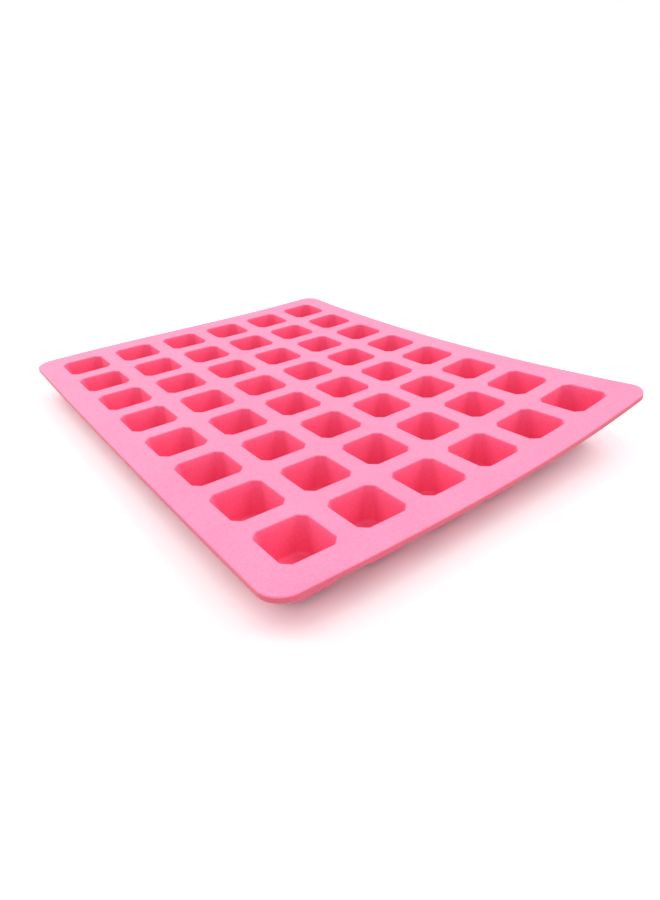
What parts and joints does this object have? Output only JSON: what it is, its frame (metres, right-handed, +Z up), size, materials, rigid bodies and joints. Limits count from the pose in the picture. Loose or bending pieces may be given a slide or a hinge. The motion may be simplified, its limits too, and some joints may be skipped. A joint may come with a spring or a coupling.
{
  "type": "silicone cavity mould",
  "caption": "Thin flexible silicone tray with a grid of small square, corner-chamfered cavities for casting soap, wax or resin; it bends between its rows to release them.",
  "frame": {"origin": "centre of the footprint, on the plane that the cup bottoms stand on", "axes": "+Z up out of the cavities, +Y along the rows (the long way), +X across the columns"},
  "size_m": [0.176, 0.23, 0.0143],
  "materials": {
    "cup_silicone": "matte",
    "web_silicone": "matte",
    "rim_silicone": "matte"
  },
  "bodies": {
    "row_1": {"cavity_r1_c1": "cup_silicone", "cavity_r1_c2": "cup_silicone", "cavity_r1_c3": "cup_silicone", "cavity_r1_c4": "cup_silicone", "cavity_r1_c5": "cup_silicone", "cavity_r1_c6": "cup_silicone", "front_rim": "rim_silicone"},
    "row_2": {"cavity_r2_c1": "cup_silicone", "cavity_r2_c2": "cup_silicone", "cavity_r2_c3": "cup_silicone", "cavity_r2_c4": "cup_silicone", "cavity_r2_c5": "cup_silicone", "cavity_r2_c6": "cup_silicone", "flex_web_1": "web_silicone"},
    "row_3": {"cavity_r3_c1": "cup_silicone", "cavity_r3_c2": "cup_silicone", "cavity_r3_c3": "cup_silicone", "cavity_r3_c4": "cup_silicone", "cavity_r3_c5": "cup_silicone", "cavity_r3_c6": "cup_silicone", "flex_web_2": "web_silicone"},
    "row_4": {"cavity_r4_c1": "cup_silicone", "cavity_r4_c2": "cup_silicone", "cavity_r4_c3": "cup_silicone", "cavity_r4_c4": "cup_silicone", "cavity_r4_c5": "cup_silicone", "cavity_r4_c6": "cup_silicone", "flex_web_3": "web_silicone", "flex_web_4": "web_silicone"},
    "row_5": {"cavity_r5_c1": "cup_silicone", "cavity_r5_c2": "cup_silicone", "cavity_r5_c3": "cup_silicone", "cavity_r5_c4": "cup_silicone", "cavity_r5_c5": "cup_silicone", "cavity_r5_c6": "cup_silicone", "flex_web_5": "web_silicone"},
    "row_6": {"cavity_r6_c1": "cup_silicone", "cavity_r6_c2": "cup_silicone", "cavity_r6_c3": "cup_silicone", "cavity_r6_c4": "cup_silicone", "cavity_r6_c5": "cup_silicone", "cavity_r6_c6": "cup_silicone", "flex_web_6": "web_silicone"},
    "row_7": {"cavity_r7_c1": "cup_silicone", "cavity_r7_c2": "cup_silicone", "cavity_r7_c3": "cup_silicone", "cavity_r7_c4": "cup_silicone", "cavity_r7_c5": "cup_silicone", "cavity_r7_c6": "cup_silicone", "flex_web_7": "web_silicone"},
    "row_8": {"cavity_r8_c1": "cup_silicone", "cavity_r8_c2": "cup_silicone", "cavity_r8_c3": "cup_silicone", "cavity_r8_c4": "cup_silicone", "cavity_r8_c5": "cup_silicone", "cavity_r8_c6": "cup_silicone", "rear_rim": "rim_silicone"}
  },
  "joints": [
    {"name": "bend_1_2", "type": "hinge", "parent": "row_2", "child": "row_1", "pos_m": [0, -0.081, 0.01312], "axis": [-1, 0, 0], "range_deg": [-25, 20], "stiffness_Nm_per_rad": 0.12, "deforming": ["flex_web_1"]},
    {"name": "bend_2_3", "type": "hinge", "parent": "row_3", "child": "row_2", "pos_m": [0, -0.054, 0.01312], "axis": [-1, 0, 0], "range_deg": [-25, 20], "stiffness_Nm_per_rad": 0.12, "deforming": ["flex_web_2"]},
    {"name": "bend_3_4", "type": "hinge", "parent": "row_4", "child": "row_3", "pos_m": [0, -0.027, 0.01312], "axis": [-1, 0, 0], "range_deg": [-25, 20], "stiffness_Nm_per_rad": 0.12, "deforming": ["flex_web_3"]},
    {"name": "bend_4_5", "type": "hinge", "parent": "row_4", "child": "row_5", "pos_m": [0, 0, 0.01312], "axis": [1, 0, 0], "range_deg": [-25, 20], "stiffness_Nm_per_rad": 0.12, "deforming": ["flex_web_4"]},
    {"name": "bend_5_6", "type": "hinge", "parent": "row_5", "child": "row_6", "pos_m": [0, 0.027, 0.01312], "axis": [1, 0, 0], "range_deg": [-25, 20], "stiffness_Nm_per_rad": 0.12, "deforming": ["flex_web_5"]},
    {"name": "bend_6_7", "type": "hinge", "parent": "row_6", "child": "row_7", "pos_m": [0, 0.054, 0.01312], "axis": [1, 0, 0], "range_deg": [-25, 20], "stiffness_Nm_per_rad": 0.12, "deforming": ["flex_web_6"]},
    {"name": "bend_7_8", "type": "hinge", "parent": "row_7", "child": "row_8", "pos_m": [0, 0.081, 0.01312], "axis": [1, 0, 0], "range_deg": [-25, 20], "stiffness_Nm_per_rad": 0.12, "deforming": ["flex_web_7"]}
  ]
}
